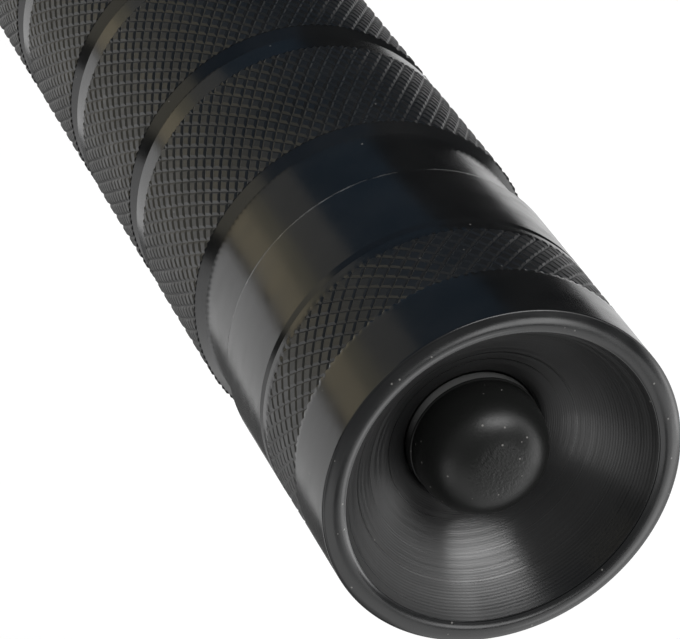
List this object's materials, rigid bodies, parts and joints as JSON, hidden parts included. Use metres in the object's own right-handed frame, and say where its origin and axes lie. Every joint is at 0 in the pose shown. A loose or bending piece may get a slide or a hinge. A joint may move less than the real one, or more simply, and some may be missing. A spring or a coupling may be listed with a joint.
{
  "type": "flashlight",
  "caption": "Turned black aluminium flashlight with a knurl-banded battery tube, a finned head and a dished tail cap around a domed rubber push button.",
  "frame": {"origin": "centre of the bezel's flat front face, on which the flashlight stands", "axes": "+Z along the axis from the bezel to the tail rim; X and Y are free, because the outside is round"},
  "size_m": [0.056, 0.056, 0.2286],
  "materials": {
    "black_anodised_aluminium": "black anodised, semi-gloss, with turned marks and satin knurling",
    "bare_aluminium": "turned",
    "mirror_reflector": "bright mirror coating",
    "clear_glass": "polished",
    "black_rubber": "matte moulded",
    "spring_steel": "drawn wire and stamped sheet",
    "brass": "turned",
    "black_plastic": "moulded",
    "white_plastic": "moulded",
    "circuit_board": "solder mask",
    "white_circuit_board": "white solder mask on a metal core",
    "emitter": "phosphor under a clear dome",
    "cell_wrap": "plain shrink wrap over a metal can",
    "red_wire": "insulated wire",
    "black_wire": "insulated wire"
  },
  "bodies": {
    "flashlight_body": {"bezel_ring": "black_anodised_aluminium", "lens_seal": "black_rubber", "front_lens": "clear_glass", "reflector": "mirror_reflector", "head_housing": "black_anodised_aluminium", "head_o_ring": "black_rubber", "led_emitter": "emitter", "led_gasket": "white_plastic", "led_board": "white_circuit_board", "led_lead_positive": "red_wire", "led_lead_negative": "black_wire", "heat_sink_pill": "bare_aluminium", "driver_board": "circuit_board", "driver_retaining_ring": "brass", "driver_contact_spring": "spring_steel", "battery_tube": "black_anodised_aluminium", "front_cell": "cell_wrap", "rear_cell": "cell_wrap", "tail_o_ring": "black_rubber"},
    "tail_contact": {"tail_spring": "spring_steel"},
    "tail_cap": {"tail_cap": "black_anodised_aluminium", "rubber_boot": "black_rubber", "boot_washer": "spring_steel", "switch_body": "black_plastic", "switch_sleeve": "bare_aluminium", "switch_board": "circuit_board", "board_snap_ring": "spring_steel", "switch_return_spring": "spring_steel"},
    "button": {"switch_plunger": "black_plastic"}
  },
  "joints": [
    {"name": "tail_cap_lift", "type": "slide", "parent": "flashlight_body", "child": "tail_contact", "axis": [0, 0, 1], "range_m": [0, 0.006], "deforming": ["tail_spring"]},
    {"name": "tail_cap_turn", "type": "hinge", "parent": "tail_contact", "child": "tail_cap", "pos_m": [0, 0, 0.20129], "axis": [0, 0, 1], "range_deg": [0, 2160]},
    {"name": "button_press", "type": "slide", "parent": "tail_cap", "child": "button", "axis": [0, 0, -1], "range_m": [0, 0.002], "stiffness_N_per_m": 800, "springref_m": -0.002, "deforming": ["rubber_boot", "switch_return_spring"]}
  ],
  "couplings": [
    {"joint": "tail_cap_lift", "follows": "tail_cap_turn", "m_per_rad": 0.00015915}
  ]
}
